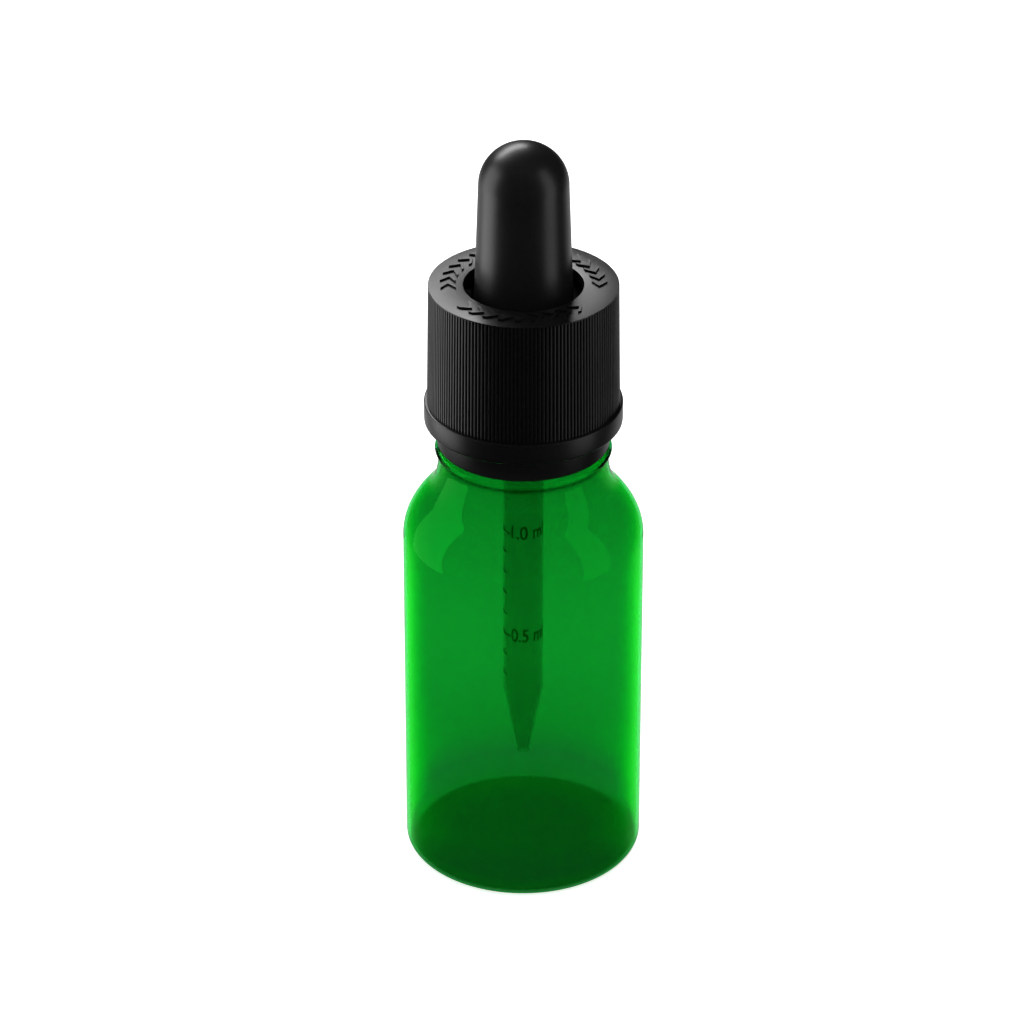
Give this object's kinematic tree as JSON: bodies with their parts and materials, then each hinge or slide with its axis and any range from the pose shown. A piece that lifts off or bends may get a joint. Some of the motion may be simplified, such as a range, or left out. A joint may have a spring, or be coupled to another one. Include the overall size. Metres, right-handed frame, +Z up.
{
  "type": "dropper bottle",
  "caption": "Round green glass tincture bottle with a child-resistant ribbed dropper cap, rubber squeeze bulb, graduated glass pipette and tamper ring.",
  "frame": {"origin": "centre of the base, on the surface that the bottle stands on", "axes": "+Z up along the bottle's axis, towards the bulb; -Y towards the viewer, where the pipette's printed scale faces"},
  "size_m": [0.0286, 0.0286, 0.0936],
  "materials": {
    "green_glass": "smooth moulded bottle glass, coloured through",
    "pipette_glass": "clear drawn glass tube with a fired-on scale",
    "cap_plastic": "moulded black polypropylene, satin",
    "inner_plastic": "moulded black polypropylene, plain",
    "bulb_rubber": "satin black rubber"
  },
  "bodies": {
    "bottle": {"bottle": "green_glass"},
    "tamper_ring": {"tamper_ring": "cap_plastic"},
    "dropper": {"pipette": "pipette_glass"},
    "bulb": {"bulb": "bulb_rubber"},
    "inner_cap": {"inner_cap": "inner_plastic"},
    "spring_ring": {"spring_ring": "inner_plastic"},
    "outer_cap": {"outer_cap": "cap_plastic"}
  },
  "joints": [
    {"name": "tamper_ring_spin", "type": "hinge", "parent": "bottle", "child": "tamper_ring", "pos_m": [0, 0, 0.0567], "axis": [0, 0, 1], "continuous": true},
    {"name": "closure_lift", "type": "slide", "parent": "bottle", "child": "dropper", "axis": [0, 0, 1], "range_m": [0, 0.054]},
    {"name": "closure_turn", "type": "hinge", "parent": "dropper", "child": "inner_cap", "pos_m": [0, 0, 0.062], "axis": [0, 0, 1], "range_deg": [0, 6481]},
    {"name": "outer_cap_spin", "type": "hinge", "parent": "inner_cap", "child": "spring_ring", "pos_m": [0, 0, 0.07], "axis": [0, 0, 1], "continuous": true},
    {"name": "outer_cap_push", "type": "slide", "parent": "spring_ring", "child": "outer_cap", "axis": [0, 0, -1], "range_m": [0, 0.0013], "stiffness_N_per_m": 9000, "deforming": ["spring_ring"]},
    {"name": "bulb_press", "type": "slide", "parent": "dropper", "child": "bulb", "axis": [0, 0, -1], "range_m": [0, 0.004], "stiffness_N_per_m": 800, "deforming": ["bulb"]}
  ],
  "couplings": [
    {"joint": "closure_turn", "follows": "closure_lift", "rad_per_m": 2094.4}
  ]
}
